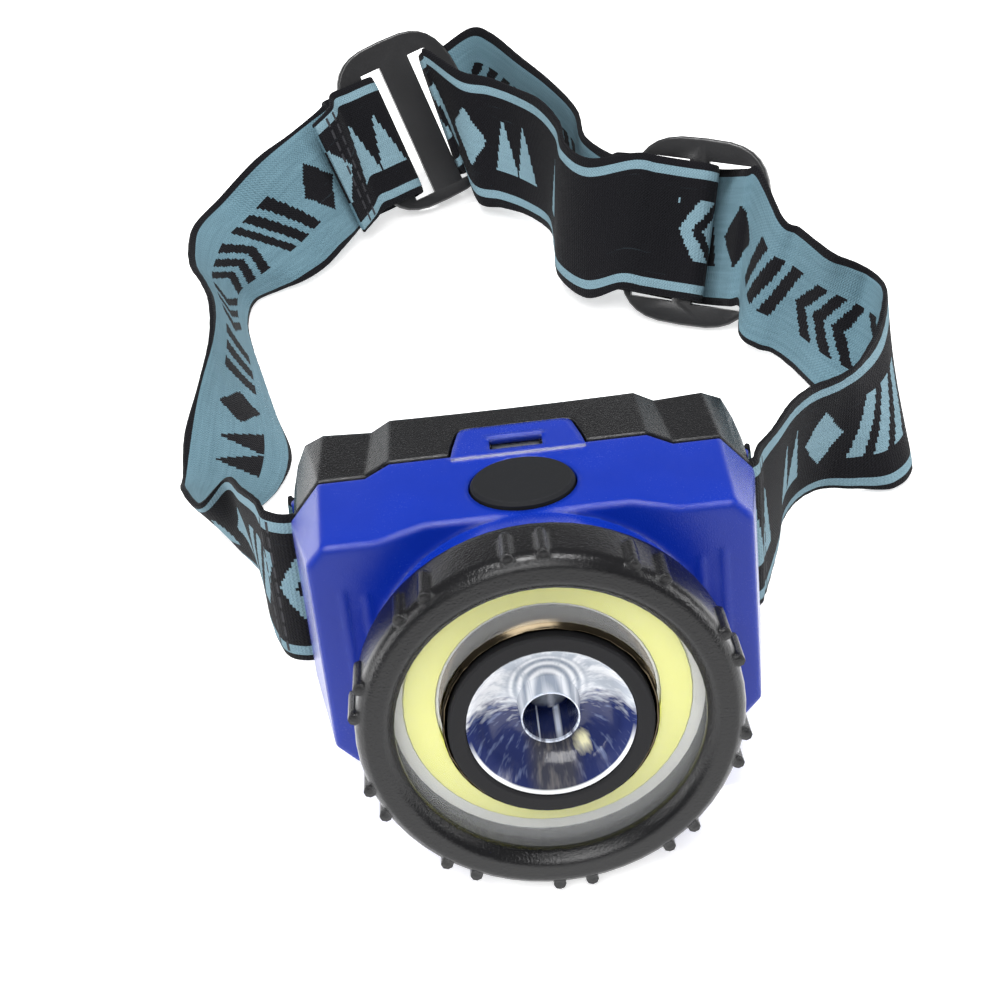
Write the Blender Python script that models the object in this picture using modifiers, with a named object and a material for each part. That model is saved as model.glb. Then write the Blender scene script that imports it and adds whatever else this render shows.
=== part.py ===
"""Headlamp: blue lamp body, black bezel, COB ring with centre LED, battery cover and head strap.

Units are millimetres times MM. The lamp's own frame has its origin on the optical axis, at the
joint between the front housing and the rear cover. The light shines along -Y and the button is
on +Z. The lamp stands tilted back on the table, and the strap loop stands behind it.
"""
import math

import bmesh
import bpy
from mathutils import Matrix, Vector

MM = 0.001
GAP = 0.3

# How the lamp stands on the table
LEAN_BACK = math.radians(15.6)
STAND = Vector((-5.654, -58.705, 18.55))

# Lamp body, (x, z) corners of the right half of its outline at the joint and at the front
REAR_OUTLINE = [(18.8, 25.1), (22.6, 23.2), (29.4, 23.2), (34.3, 17.5), (34.3, -10.0), (31.5, -13.0)]
FRONT_OUTLINE = [(14.1, 24.4), (20.8, 22.6), (28.4, 22.6), (30.8, 20.0), (30.8, -10.0), (28.0, -13.0)]
COVER_SEAM = [(18.8, 25.1), (22.6, 23.2), (29.4, 23.2), (31.9, 20.3), (34.3, 17.5), (34.3, -10.0),
              (31.5, -13.0)]
COVER_OUTLINE = [(18.6, 25.2), (21.6, 23.5), (29.0, 23.7), (32.0, 22.3), (33.6, 19.0), (33.7, -10.0),
                 (31.3, -13.0)]
BODY_FRONT = -19.5
WALL = 1.6
NECK_RADIUS = 25.0
NECK_FRONT = -28.3
ROUND_STEPS = 48

# Bezel and optics (radius or depth along the optical axis)
BEZEL_RADIUS = 26.4
BEZEL_REAR = -26.3
BEZEL_FRONT = -35.8
BEZEL_LIP = 21.1
RIB_RADIUS = 0.9
RIB_PAIRS = 10
RIB_HALF_SPREAD = math.radians(5.0)
RIB_PHASE = math.radians(-87.5)
COLLAR_RADIUS = 14.0
APERTURE = 11.6
COB_INNER, COB_OUTER, COB_FRONT = 15.05, 21.75, -28.2
PHOSPHOR_INNER, PHOSPHOR_OUTER = 15.4, 20.0
REFLECTOR_FLOOR = -27.5

# Button
BUTTON_Y = -10.9
BUTTON_RADIUS = 7.4
BUTTON_TOP = 25.6

# Latch tab
TAB_OUTLINE = [(9.8, -2.0), (9.4, 1.2), (8.5, 6.2), (8.0, 7.2), (7.0, 7.6)]
TAB_BOTTOM, TAB_TOP = 24.6, 25.45
WINDOW_X, WINDOW_Y = (-4.0, 3.7), (-0.4, 3.0)

# Batteries: three AAA cells side by side
CELL_RADIUS = 5.25
CELL_LENGTH = 43.5
CELL_Y = 6.5
CELL_ROWS = (-5.6, 5.2, 16.0)
SCREW_ROWS = (-0.2, 10.6)

# Rear cover and its hinge
COVER_FRONT, COVER_REAR = 0.3, 15.2
HINGE_Y, HINGE_Z = 13.5, -13.0
BARREL_RADIUS = 2.4
PIN_RADIUS = 1.0
KNUCKLE_HALF = 13.0
HINGE_HALF = 19.5
FOREHEAD_RADIUS = 454.0

# Strap bars at the ends of the lamp body
BAR_X, BAR_Y, BAR_RADIUS = 33.0, 6.5, 1.5
BAND_LOW, BAND_HIGH = -9.0, 16.5
BAND_THICKNESS = 1.3
LUG_TOP = 17.9
BRACKET_OUTLINE = [(-3.1, -12.2), (8.1, -12.2), (8.1, BAND_LOW - 0.6), (-1.2, BAND_LOW - 0.6),
                   (-1.2, BAND_HIGH + 0.4), (8.1, BAND_HIGH + 0.4), (8.1, LUG_TOP), (-3.1, LUG_TOP)]

# Buckles: centre, angle in plan, lean, and bars as (low, high) along the strap
BUCKLE_THICKNESS = 2.2
BUCKLE_HALF_HEIGHT = 17.8
BAND_HALF = 13.0
BAND_RISE = 0.2
JOINER = {"centre": (-10.3, 144.0, -2.35), "turn": 18.0, "lean": 31.0, "roll": 9.0,
          "lift": 1.2, "slot": 14.0, "bars": ((-15.0, -8.0), (-3.3, 3.0), (7.3, 12.2))}
SLIDER = {"centre": (40.0, 93.5, -2.7), "turn": -25.0, "lean": 30.0, "roll": 0.0,
          "lift": 0.0, "slot": 13.6, "bars": ((-14.7, -11.5), (-2.9, 0.7), (10.5, 13.7))}

# Strap routes, chosen by hand: lower edge (x, y, z) and upper edge (x, y, z) at each station
LEFT_ROUTE = [
    ((-41, 10, -10.5), (-40, 13.5, 14)), ((-42, 18, -13), (-43, 19, 12)),
    ((-44, 28, -16), (-46, 25.5, 8.5)), ((-48.5, 37.5, -18), (-51, 24.5, 4.5)),
    ((-48, 44, -18), (-54.5, 31.5, 2)), ((-42.5, 51, -18), (-55.5, 39.5, -2)),
    ((-40, 60, -18), (-55.5, 49.5, -1)), ((-43, 72, -18), (-53.5, 61, 0)),
    ((-46, 85, -18), (-51.5, 72, 2)), ((-48, 94, -18), (-51.5, 80, 4)),
    ((-49, 102, -18), (-53.5, 88, 3)), ((-47.5, 109, -18), (-56, 95, 2)),
    ((-42.5, 112, -18), (-57, 103, 1)), ((-37.5, 113, -17), (-56.5, 112, 0)),
    ((-33, 117, -17), (-52.5, 121.5, -1)), ((-29.5, 121, -16), (-44, 127, 4)),
    ((-26.5, 125.5, -15.5), (-37, 133.5, 5)), ((-24, 130, -15.5), (-30.5, 139.5, 6.5)),
]
LEFT_TAIL = [((-22, 128.5, -14.5), (-28.5, 138, 7.5)), ((-24.5, 125, -15), (-32, 133.5, 6.5))]
INNER_ROUTE = [
    ((0, 131, -15), (-1, 144, 9)), ((5, 128, -15), (4.5, 141, 8.5)),
    ((10, 124, -15), (9.5, 136.5, 8)), ((14, 117, -15), (14, 130, 8.5)),
    ((14, 109, -15), (17, 122, 8)), ((14, 101, -15), (17.5, 114, 7.5)),
    ((18.5, 93.5, -15), (21.5, 107, 8)),
]
OUTER_ROUTE = [
    ((1.5, 149.5, -14), (2.5, 158, 11)), ((6, 147, -15), (6.5, 156.5, 10)),
    ((11, 139.5, -16), (11.5, 148.5, 8.5)), ((16, 129, -16), (17, 138.5, 7.5)),
    ((19.5, 118, -16), (21, 127.5, 7)), ((20, 106.5, -16), (21.5, 117, 7)),
]
RIGHT_ROUTE = [
    ((45.5, 77, -15.5), (53.5, 80, 8)), ((48, 74, -16.5), (56, 77, 7.5)),
    ((51, 72.5, -17), (57.5, 73.5, 7.5)), ((54, 68.5, -18), (60.5, 68.5, 7)),
    ((57, 61, -18), (64, 67.5, 5.5)), ((60.5, 56, -18), (67, 67, 3.5)),
    ((64.5, 51, -17.5), (68, 62, 4)), ((67.5, 44, -17.5), (66.5, 56, 5)),
    ((68, 37, -17.5), (63.5, 48.5, 5)), ((64, 33.5, -18), (60.5, 43, 5.5)),
    ((58, 34.5, -18), (57.5, 38, 6.5)), ((52, 35.5, -18), (54, 35, 7)),
    ((47, 32.5, -17.5), (49, 32, 8)), ((43, 26, -16), (44.5, 26.5, 10)),
    ((40.5, 17, -13), (40, 18.5, 12)),
]

COLOURS = {
    "blue": ((0.02, 0.07, 0.55), 0.35, 0.0), "black": ((0.015, 0.015, 0.017), 0.4, 0.0),
    "rubber": ((0.02, 0.02, 0.022), 0.75, 0.0), "clear": ((0.85, 0.9, 0.95), 0.05, 0.0),
    "chrome": ((0.8, 0.8, 0.82), 0.08, 1.0), "white": ((0.85, 0.86, 0.88), 0.5, 0.0),
    "yellow": ((0.85, 0.83, 0.25), 0.45, 0.0), "green": ((0.03, 0.2, 0.08), 0.5, 0.0),
    "steel": ((0.6, 0.6, 0.6), 0.3, 1.0), "cell": ((0.08, 0.09, 0.1), 0.35, 0.3),
    "red": ((0.5, 0.02, 0.02), 0.45, 0.0), "webbing": ((0.2, 0.33, 0.4), 0.85, 0.0),
}


def clear_scene():
    """Remove every object, so that the file holds only the lamp."""
    for item in list(bpy.data.objects):
        bpy.data.objects.remove(item, do_unlink=True)


def make_collection(name):
    """Make a collection in the scene."""
    collection = bpy.data.collections.new(name)
    bpy.context.scene.collection.children.link(collection)
    return collection


def make_frame(name, tilt):
    """Make an empty that carries the parts of one frame."""
    empty = bpy.data.objects.new(name, None)
    empty.location = STAND * MM
    empty.rotation_euler = (-tilt, 0.0, 0.0)
    parts.objects.link(empty)
    return empty


def add_object(name, data, frame, colour="black"):
    """Put mesh or curve data in the scene as a part with its own material."""
    item = bpy.data.objects.new(name, data)
    item.parent = frame
    parts.objects.link(item)
    rgb, roughness, metallic = COLOURS[colour]
    material = bpy.data.materials.new(name)
    material.use_nodes = True
    shader = material.node_tree.nodes["Principled BSDF"]
    shader.inputs["Base Color"].default_value = (*rgb, 1.0)
    shader.inputs["Roughness"].default_value = roughness
    shader.inputs["Metallic"].default_value = metallic
    data.materials.append(material)
    return item


def mesh_from(name, form, frame, colour):
    """Turn a bmesh into a part, with its faces pointing out and its round sides smooth."""
    bmesh.ops.recalc_face_normals(form, faces=form.faces)
    mesh = bpy.data.meshes.new(name)
    form.to_mesh(mesh)
    form.free()
    mesh.shade_smooth()
    mesh.set_sharp_from_angle(angle=math.radians(35))
    return add_object(name, mesh, frame, colour)


def box(name, low, high, colour="black"):
    """Make a box between two corners."""
    form = bmesh.new()
    centre = (Vector(low) + Vector(high)) / 2 * MM
    size = (Vector(high) - Vector(low)) * MM
    place = Matrix.Translation(centre) @ Matrix.Diagonal((*size, 1.0))
    bmesh.ops.create_cube(form, size=1.0, matrix=place)
    return mesh_from(name, form, lamp, colour)


def rod(name, start, end, radius, colour="black", steps=24):
    """Make a cylinder between two points."""
    start, end = Vector(start) * MM, Vector(end) * MM
    form = bmesh.new()
    turn = (end - start).to_track_quat("Z", "Y").to_matrix().to_4x4()
    place = Matrix.Translation((start + end) / 2) @ turn
    bmesh.ops.create_cone(form, cap_ends=True, segments=steps, radius1=radius * MM,
                          radius2=radius * MM, depth=(end - start).length, matrix=place)
    return mesh_from(name, form, lamp, colour)


def prism(name, outline, low, high, axis, frame, colour="black"):
    """Extrude a flat outline along X, Y or Z."""
    def spot(point, level):
        values = [value * MM for value in point]
        values.insert("XYZ".index(axis), level * MM)
        return values
    form = bmesh.new()
    base = form.faces.new([form.verts.new(spot(point, low)) for point in outline])
    grown = bmesh.ops.extrude_face_region(form, geom=[base])
    shift = Vector(spot((0, 0), high - low))
    moved = [item for item in grown["geom"] if isinstance(item, bmesh.types.BMVert)]
    bmesh.ops.translate(form, verts=moved, vec=shift)
    return mesh_from(name, form, frame, colour)


def loft(name, rings, frame, colour):
    """Join rings of equal length into one closed body."""
    form = bmesh.new()
    rows = [[form.verts.new(Vector(point) * MM) for point in ring] for ring in rings]
    count = len(rows[0])
    for lower, upper in zip(rows, rows[1:]):
        for index in range(count):
            after = (index + 1) % count
            form.faces.new((lower[index], lower[after], upper[after], upper[index]))
    form.faces.new(rows[0])
    form.faces.new(rows[-1])
    sides = [face for face in form.faces if len(face.verts) == 4]
    bmesh.ops.triangulate(form, faces=sides)
    return mesh_from(name, form, frame, colour)


def turned(name, profile, colour, centre=(0.0, 0.0, 0.0), axis="Y", steps=ROUND_STEPS):
    """Turn a profile of (radius, level) points about a line along Y or Z."""
    form = bmesh.new()
    closed = min(radius for radius, _level in profile) > 0
    spots = [(r * MM, y * MM, 0.0) if axis == "Y" else (r * MM, 0.0, y * MM) for r, y in profile]
    verts = [form.verts.new(spot) for spot in spots]
    for first, second in zip(verts, verts[1:]):
        form.edges.new((first, second))
    if closed:
        form.edges.new((verts[-1], verts[0]))
    mesh = bpy.data.meshes.new(name)
    form.to_mesh(mesh)
    form.free()
    item = bpy.data.objects.new(name, mesh)
    parts.objects.link(item)
    screw = item.modifiers.new("turn", "SCREW")
    screw.axis = axis
    screw.steps = steps
    screw.render_steps = steps
    screw.use_merge_vertices = True
    screw.merge_threshold = 0.00001
    whole = bmesh.new()
    bpy.context.view_layer.update()
    whole.from_object(item, bpy.context.evaluated_depsgraph_get())
    bpy.data.objects.remove(item, do_unlink=True)
    bpy.data.meshes.remove(mesh)
    bmesh.ops.remove_doubles(whole, verts=whole.verts, dist=0.000001)
    bmesh.ops.translate(whole, verts=whole.verts, vec=Vector(centre) * MM)
    return mesh_from(name, whole, lamp, colour)


def tube(name, points, radius, colour):
    """Make a wire as a curve with filled caps."""
    curve = bpy.data.curves.new(name, "CURVE")
    curve.dimensions = "3D"
    curve.bevel_depth = radius * MM
    curve.bevel_resolution = 2
    curve.use_fill_caps = True
    line = curve.splines.new("POLY")
    line.points.add(len(points) - 1)
    for knot, point in zip(line.points, points):
        knot.co = (*(Vector(point) * MM), 1.0)
    return add_object(name, curve, lamp, colour)


def bevel(item, width, segments=2, angle=30.0):
    """Round the sharp edges of a part."""
    rounding = item.modifiers.new("round", "BEVEL")
    rounding.width = width * MM
    rounding.segments = segments
    rounding.limit_method = "ANGLE"
    rounding.angle_limit = math.radians(angle)
    item.modifiers.new("flat faces", "TRIANGULATE")
    return item


def combine(item, tool, operation):
    """Cut a part with a tool, or join the tool to it, and store the tool with the cutters."""
    boolean = item.modifiers.new(tool.name, "BOOLEAN")
    boolean.operation = operation
    boolean.solver = "EXACT"
    boolean.object = tool
    parts.objects.unlink(tool)
    cutters.objects.link(tool)
    tool.hide_render = True
    tool.display_type = "WIRE"


def cut(item, *tools):
    """Cut tools from a part."""
    for tool in tools:
        combine(item, tool, "DIFFERENCE")


def join(item, *tools):
    """Join tools to a part."""
    for tool in tools:
        combine(item, tool, "UNION")


def move_origin(item, point):
    """Put a mesh part's origin on its joint's axis without moving the part."""
    place = Vector(point) * MM
    item.data.transform(Matrix.Translation(-place))
    item.location = place


def smooth_path(stations, steps):
    """Read points from one smooth curve that passes through every station."""
    padded = [2 * stations[0] - stations[1], *stations, 2 * stations[-1] - stations[-2]]
    path = []
    for before, start, end, after in zip(padded, padded[1:], padded[2:], padded[3:]):
        for step in range(steps):
            t = step / steps
            path.append(0.5 * (2 * start + (end - before) * t
                               + (2 * before - 5 * start + 4 * end - after) * t * t
                               + (3 * start - before - 3 * end + after) * t * t * t))
    path.append(stations[-1])
    return path


def half_to_full(half):
    """Mirror the right half of an outline to the left."""
    return half + [(-across, level) for across, level in reversed(half)]


def inset(outline, amount):
    """Bring a body outline's corners in by a wall thickness."""
    middle = 5.0
    return [(x - math.copysign(amount, x), z - math.copysign(amount, z - middle))
            for x, z in outline]


def body_rings(levels, amount=0.0):
    """Rings of the lamp body's outline between its joint and its front."""
    rings = []
    for y in levels:
        share = min(max(y / BODY_FRONT, 0.0), 1.0)
        half = [((1 - share) * xr + share * xf, (1 - share) * zr + share * zf)
                for (xr, zr), (xf, zf) in zip(REAR_OUTLINE, FRONT_OUTLINE)]
        rings.append([(x, y, z) for x, z in inset(half_to_full(half), amount)])
    return rings


def make_front_housing():
    """Blue housing: box body, round neck, strap bars, hinge floor, latch tab and rib marks."""
    housing = bevel(loft("front_housing", body_rings((0.0, BODY_FRONT)), lamp, "blue"), 0.8)
    neck = turned("neck_tool", [(0, NECK_FRONT), (NECK_RADIUS, NECK_FRONT), (NECK_RADIUS, -24.0),
                                (NECK_RADIUS - 0.8, -18.6), (NECK_RADIUS - 1.6, -17.4), (0, -17.4)],
                  "blue")
    inside = loft("inside_tool", body_rings((0.5, -17.6), WALL), lamp, "blue")
    bore = turned("bore_tool", [(0, -30), (NECK_RADIUS - 2.1, -30), (NECK_RADIUS - 2.1, -19.6),
                                (0, -19.6)], "blue")
    join(housing, neck)
    for side in (-1, 1):
        for row, (x, top) in enumerate(((20.3, 14.5), (23.2, 15.5), (26.5, 16.5))):
            rib = turned(f"rib_tool_{row}_{side}", [
                (0, -10.0), (1.1, -10.0), (1.1, top - 1.1), (0.8, top - 0.35), (0, top)], "blue",
                (side * x, BODY_FRONT + 0.87, 0), "Z", 12)
            join(housing, rib)
    cut(housing, inside, bore)
    floor = box("floor_tool", (-27.0, -1.6, -13.0), (27.0, 11.0, -11.5), "blue")
    join(housing, floor)
    for side in (-1, 1):
        low, high = sorted((side * 26.7, side * 33.3))
        bracket = prism(f"bracket_tool_{side}", BRACKET_OUTLINE, low, high, "X", lamp, "blue")
        bar = rod(f"bar_tool_{side}", (side * BAR_X, BAR_Y, -9.8), (side * BAR_X, BAR_Y, 17.1),
                  BAR_RADIUS, "blue", 16)
        join(housing, bracket, bar)
        start, end = side * (KNUCKLE_HALF + 0.4), side * HINGE_HALF
        knuckle = rod(f"knuckle_tool_{side}", (start, HINGE_Y, HINGE_Z), (end, HINGE_Y, HINGE_Z),
                      BARREL_RADIUS, "blue")
        low, high = sorted((start, end))
        web = box(f"knuckle_web_tool_{side}", (low, 9.0, -14.0), (high, 12.6, -12.0), "blue")
        join(housing, web, knuckle)
        for row in (0, 1):
            post = rod(f"post_tool_{side}_{row}", (side * 12, -18.0, SCREW_ROWS[row]),
                       (side * 12, -1.6, SCREW_ROWS[row]), 2.3, "blue", 16)
            join(housing, post)
    pin_hole = rod("pin_hole_tool", (-20.5, HINGE_Y, HINGE_Z), (20.5, HINGE_Y, HINGE_Z),
                   PIN_RADIUS + 0.1, "blue")
    button_hole = rod("button_hole_tool", (0, BUTTON_Y, 20), (0, BUTTON_Y, 28), BUTTON_RADIUS + GAP,
                      "blue", 40)
    wire_hole = rod("wire_hole_tool", (0, -21, 8), (0, -16, 8), 4.0, "blue")
    tab = prism("tab_tool", half_to_full(TAB_OUTLINE), TAB_BOTTOM, TAB_TOP, "Z", lamp, "blue")
    bridge = prism("bridge_tool", [(3.1, 25.0), (4.3, 25.0), (4.1, 25.8), (3.3, 25.8)], -4.4, 4.1, "X",
                   lamp, "blue")
    join(housing, tab, bridge)
    window = box("window_tool", (WINDOW_X[0], WINDOW_Y[0], 23), (WINDOW_X[1], WINDOW_Y[1], 28), "blue")
    cut(housing, pin_hole, button_hole, wire_hole, window)
    for side in (-1, 1):
        for row in (0, 1):
            hole = rod(f"screw_hole_tool_{side}_{row}", (side * 12, -12.0, SCREW_ROWS[row]),
                       (side * 12, 0.0, SCREW_ROWS[row]), 1.1, "blue", 12)
            cut(housing, hole)


def make_optics():
    """Bezel, cover lens, reflector, COB ring, collar, collimator and LED on the optical axis."""
    bezel = turned("bezel_ring", [
        (NECK_RADIUS + GAP, BEZEL_REAR), (BEZEL_RADIUS, BEZEL_REAR), (BEZEL_RADIUS, -33.6),
        (26.15, -34.6), (25.7, -35.3), (25.0, BEZEL_FRONT), (22.5, BEZEL_FRONT), (21.9, -35.4),
        (21.5, -34.8), (BEZEL_LIP, -34.4), (BEZEL_LIP, -33.3), (NECK_RADIUS + GAP, -33.3)],
        "black", steps=60)
    for pair in range(RIB_PAIRS):
        for side in (-1, 1):
            angle = RIB_PHASE + pair * 2 * math.pi / RIB_PAIRS + side * RIB_HALF_SPREAD
            spot = (BEZEL_RADIUS * math.cos(angle), BEZEL_RADIUS * math.sin(angle))
            rib = rod(f"bezel_rib_tool_{pair}_{side}", (spot[0], -29.0, spot[1]),
                      (spot[0], -35.1, spot[1]), RIB_RADIUS, "black", 8)
            join(bezel, rib)
    turned("cover_lens", [(15.1, -32.9), (15.1, -32.0), (24.9, -32.0), (24.9, -32.9)], "clear")
    turned("chrome_reflector", [
        (14.3, -33.6), (14.7, -33.6), (14.75, REFLECTOR_FLOOR), (22.0, REFLECTOR_FLOOR),
        (22.6, -31.7), (24.8, -31.7), (24.8, -30.8), (23.0, -30.8), (22.5, REFLECTOR_FLOOR + 0.6),
        (14.3, REFLECTOR_FLOOR + 0.6)], "chrome")
    turned("cob_board", [(COB_INNER, COB_FRONT + 0.4), (COB_INNER, COB_FRONT),
                         (COB_OUTER, COB_FRONT), (COB_OUTER, COB_FRONT + 0.4)], "white")
    turned("cob_phosphor", [
        (PHOSPHOR_INNER, COB_FRONT - 0.25), (PHOSPHOR_INNER + 0.3, COB_FRONT - 0.55),
        (PHOSPHOR_OUTER - 0.3, COB_FRONT - 0.55), (PHOSPHOR_OUTER, COB_FRONT - 0.25)], "yellow")
    turned("lens_collar", [(COLLAR_RADIUS, -21.3), (COLLAR_RADIUS, -34.6), (13.7, -34.9),
                           (APERTURE + 0.3, -34.9), (APERTURE, -34.6), (APERTURE, -33.5),
                           (12.6, -33.5), (12.6, -21.3)], "black")
    turned("collimator_lens", [
        (0, -30.8), (1.2, -30.7), (2.3, -30.2), (2.9, -29.9), (3.9, -34.6), (11.2, -34.6),
        (11.2, -33.2), (12.2, -33.2), (12.2, -32.2), (11.0, -32.2), (8.6, -27.6), (5.0, -22.0),
        (2.6, -22.0), (2.4, -25.6), (1.2, -26.2), (0, -26.4)], "clear")
    turned("led_emitter", [(0, -24.6), (0.9, -24.4), (1.5, -23.6), (1.6, -22.6), (2.3, -22.4),
                           (2.3, -21.3), (0, -21.3)], "yellow", steps=24)
    turned("led_board", [(0, -21.0), (12.2, -21.0), (12.2, -19.9), (0, -19.9)], "green")


def make_button_and_board():
    """Button cap and plunger, and the switch and main board under them."""
    cap = turned("button_cap", [
        (0, 22.0), (BUTTON_RADIUS, 22.0), (BUTTON_RADIUS, 24.9), (7.0, 25.4), (4.0, BUTTON_TOP),
        (0, 25.7)], "rubber", (0, BUTTON_Y, 0), "Z")
    join(cap, box("flange_tool", (-8.4, -16.8, 22.0), (8.4, -4.8, 22.5), "rubber"))
    move_origin(cap, (0, BUTTON_Y, 25))
    plunger = rod("switch_plunger", (0, BUTTON_Y, 19.8), (0, BUTTON_Y, 21.7), 1.7, "black")
    move_origin(plunger, (0, BUTTON_Y, 20))
    body = box("switch_body", (-3.1, BUTTON_Y - 3.1, 17.9), (3.1, BUTTON_Y + 3.1, 20.9), "steel")
    cut(body, rod("switch_hole_tool", (0, BUTTON_Y, 18.6), (0, BUTTON_Y, 22), 2.0, "steel"))
    box("main_board", (-13.0, -16.8, 16.2), (13.0, -3.0, 17.6), "green")


def make_battery_pack():
    """Tray, three cells in series, their springs and plates, and the four tray screws."""
    tray = box("battery_tray", (-26.2, -1.3, -11.1), (26.2, 9.0, 21.2), "black")
    middle = box("tray_top_tool", (-27.5, 5.0, -12.0), (27.5, 9.5, 22.5))
    cut(tray, middle)
    for side in (-1, 1):
        low, high = sorted((side * 26.2, side * 24.9))
        join(tray, box(f"tray_wall_tool_{side}", (low, 4.0, -11.1), (high, 9.0, 21.2)))
    for row, z in enumerate(CELL_ROWS):
        side = 1 if row % 2 == 0 else -1
        cut(tray, rod(f"cradle_tool_{row}", (-24.9, CELL_Y, z), (24.9, CELL_Y, z),
                      CELL_RADIUS + GAP, "black", 32))
        start, end = side * -21.2, side * (CELL_LENGTH - 21.2)
        cell = rod(f"battery_cell_{row + 1}", (start, CELL_Y, z), (end, CELL_Y, z), CELL_RADIUS,
                   "cell", 32)
        nub = rod(f"nub_tool_{row}", (end - side * 0.5, CELL_Y, z), (end + side * 1.0, CELL_Y, z),
                  1.9, "cell", 16)
        join(cell, nub)
        low, high = sorted((side * 23.8, side * 24.4))
        box(f"contact_plate_{row + 1}", (low, CELL_Y - 3.8, z - 3.8), (high, CELL_Y + 3.8, z + 3.8),
            "steel")
        turns, count = 2.6, 22
        coil = []
        for step in range(count + 1):
            share = step / count
            angle = 2 * math.pi * turns * share
            reach = 3.6 - 1.6 * share
            coil.append((side * (-24.4 + 2.6 * share), CELL_Y + reach * math.cos(angle),
                         z + reach * math.sin(angle)))
        tube(f"contact_spring_{row + 1}", coil, 0.25, "steel")
    number = 0
    for side in (-1, 1):
        for z in SCREW_ROWS:
            number += 1
            x = side * 12
            cut(tray, rod(f"screw_head_tool_{number}", (x, 0.7, z), (x, 9, z), 2.1, "steel", 16),
                rod(f"screw_shank_tool_{number}", (x, -2, z), (x, 2, z), 1.2, "steel", 12))
            turned(f"tray_screw_{number}", [(0, -8.0), (0.5, -7.6), (0.8, -7.0), (0.8, 1.0), (1.7, 1.0),
                                            (1.7, 2.0), (1.3, 2.3), (0, 2.3)], "steel", (x, 0, z),
                   steps=12)


def make_wires():
    """Lead wires from the main board to the LED board and to the battery contacts."""
    for name, x, colour in (("led_wire_plus", 1.6, "red"), ("led_wire_minus", -1.6, "black")):
        tube(name, [(x, -19.5, 6.5), (x, -18.4, 6.6), (x, -16.8, 7.2), (x, -15.6, 8.6),
                    (x, -15.0, 11.0), (x, -14.8, 13.5), (x, -14.8, 15.8)], 0.5, colour)
    for name, side, colour in (("battery_wire_plus", 1, "red"), ("battery_wire_minus", -1, "black")):
        tube(name, [(side * 10, -5.0, 15.8), (side * 10.4, -5.0, 14.6), (side * 12.2, -4.8, 13.4),
                    (side * 15.5, -4.4, 12.6), (side * 18.5, -3.6, 12.2), (side * 20.4, -2.6, 12.0),
                    (side * 21.0, -1.7, 12.0)], 0.5, colour)


def make_rear_cover():
    """Black battery cover with its catch and hinge knuckle, and the steel hinge pin."""
    seam, crest = half_to_full(COVER_SEAM), half_to_full(COVER_OUTLINE)
    cover = loft("rear_cover", [[(x, COVER_FRONT, z) for x, z in seam],
                                [(x, COVER_REAR, z) for x, z in crest]], lamp, "black")
    hollow_side = COVER_REAR - 1.2 + FOREHEAD_RADIUS
    forehead = rod("forehead_tool", (0, hollow_side, -40), (0, hollow_side, 60), FOREHEAD_RADIUS,
                   "black", 384)
    cut(cover, forehead)
    bevel(cover, 1.7, 3, 22.0)
    inner = inset(seam, 1.5)
    hollow = loft("cover_hollow_tool", [
        [(x, y, z if z > 0 else z - 6.0) for x, z in inner]
        for y in (-1.0, COVER_REAR - 3.0)], lamp, "black")
    room = [(x + 0.5, y + 0.5) for x, y in TAB_OUTLINE]
    recess = prism("recess_tool", half_to_full(room), 22.3, 30.0, "Z", lamp, "black")
    step = box("recess_floor_tool", (-12.0, 2.1, 21.45), (12.0, 10.3, 23.9))
    cut(cover, hollow)
    join(cover, step)
    cut(cover, recess)
    catch = prism("catch_tool", [(3.9, 22.0), (7.0, 22.0), (7.0, 23.5), (5.0, 23.5), (5.0, 23.2),
                                 (3.9, 23.2)], -3.7, 3.4, "X", lamp, "black")
    join(cover, catch)
    for side in (-1, 1):
        low, high = sorted((side * 28.2, side * 40.0))
        cut(cover, box(f"strap_exit_tool_{side}", (low, -2.0, -20.0),
                       (high, 10.2, LUG_TOP + 0.4)))
        low, high = sorted((side * (KNUCKLE_HALF + 0.1), side * (HINGE_HALF + 0.6)))
        cut(cover, box(f"knuckle_room_tool_{side}", (low, 10.0, -20.0), (high, 20.0, -10.1)))
    foot = box("foot_tool", (-40, -2.0, -20.0), (40, 20.0, -11.6))
    cut(cover, foot)
    leaf = prism("leaf_tool", [(12.2, -9.0), (12.2, -13.0), (HINGE_Y + 1.0, -15.0),
                               (HINGE_Y + 2.2, -13.6), (14.2, -9.0)], 0.3 - KNUCKLE_HALF,
                 KNUCKLE_HALF - 0.3, "X", lamp, "black")
    barrel = rod("barrel_tool", (-KNUCKLE_HALF, HINGE_Y, HINGE_Z), (KNUCKLE_HALF, HINGE_Y, HINGE_Z),
                 BARREL_RADIUS, "black")
    join(cover, leaf, barrel)
    cut(cover, rod("cover_pin_hole_tool", (-15, HINGE_Y, HINGE_Z), (15, HINGE_Y, HINGE_Z),
                   PIN_RADIUS + 0.1))
    move_origin(cover, (0, HINGE_Y, HINGE_Z))
    rod("hinge_pin", (-HINGE_HALF, HINGE_Y, HINGE_Z), (HINGE_HALF, HINGE_Y, HINGE_Z), PIN_RADIUS,
        "steel", 20)


def from_lamp(x, y, z):
    """A point of the lamp's frame in the strap's upright frame."""
    return Matrix.Rotation(-LEAN_BACK, 3, "X") @ Vector((x, y, z))


def ear_loop(side, way_out):
    """Stations of the band's sewn loop round a strap bar, from its free end to its way out."""
    reach = BAR_RADIUS + 0.35 + BAND_THICKNESS / 2
    plan = [(35.0, 10.3), (34.5, 9.4)]
    for degrees in (75, 120, 165, 210, 250, 285):
        angle = math.radians(degrees)
        plan.append((BAR_X + reach * math.cos(angle), BAR_Y + reach * math.sin(angle)))
    plan += way_out
    return [(from_lamp(side * x, y, BAND_LOW), from_lamp(side * x, y, BAND_HIGH)) for x, y in plan]


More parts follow.
